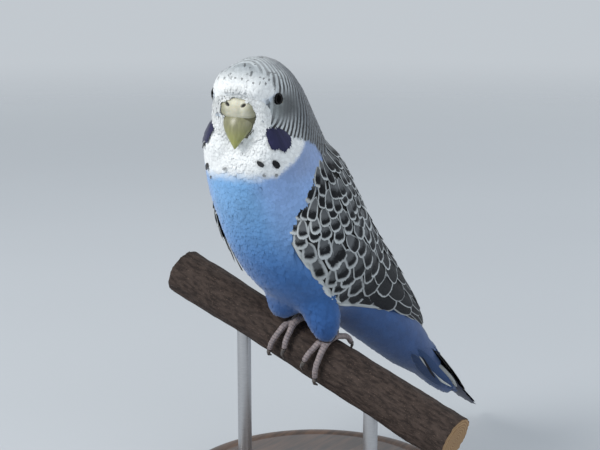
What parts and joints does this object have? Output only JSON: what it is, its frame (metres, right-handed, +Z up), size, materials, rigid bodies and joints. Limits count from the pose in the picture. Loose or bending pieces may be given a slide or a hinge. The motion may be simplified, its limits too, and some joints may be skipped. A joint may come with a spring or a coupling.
{
  "type": "budgerigar",
  "caption": "Life-size still model of a perched sky-blue budgerigar with folded barred wings and a long tail, gripping a cut length of branch on a round display stand.",
  "frame": {"origin": "centre of the stand base's underside", "axes": "+Z up; the bird's body heads along -Y; its left side is at +X"},
  "size_m": [0.1071, 0.1502, 0.145],
  "materials": {
    "white_plumage": "soft white feathers with fine black bars",
    "blue_plumage": "soft sky-blue feathers",
    "barred_plumage": "blackish feathers with pale edges",
    "navy_plumage": "stiff dark blue tail feathers",
    "grey_skin": "fine grey-pink scales",
    "dark_claw": "dark glossy horn",
    "horn": "olive-yellow glossy horn",
    "cere_skin": "pale matte bare skin",
    "dark_eye": "wet black gloss",
    "bark": "rough dark bark with pale flecks",
    "stained_wood": "dark stained turned wood",
    "rod_steel": "fine brushed steel"
  },
  "bodies": {
    "root": {"head": "white_plumage", "neck": "blue_plumage", "trunk": "blue_plumage", "wing_left": "barred_plumage", "wing_right": "barred_plumage", "tail": "navy_plumage", "thigh_left": "blue_plumage", "thigh_right": "blue_plumage", "foot_left": "grey_skin", "foot_right": "grey_skin", "claw_front_inner_left": "dark_claw", "claw_front_outer_left": "dark_claw", "claw_rear_inner_left": "dark_claw", "claw_rear_outer_left": "dark_claw", "claw_front_inner_right": "dark_claw", "claw_front_outer_right": "dark_claw", "claw_rear_inner_right": "dark_claw", "claw_rear_outer_right": "dark_claw", "bill_upper": "horn", "bill_lower": "horn", "cere": "cere_skin", "eye_left": "dark_eye", "eye_right": "dark_eye", "perch": "bark", "stand_base": "stained_wood", "stand_rod_1": "rod_steel", "stand_rod_2": "rod_steel"}
  },
  "joints": []
}
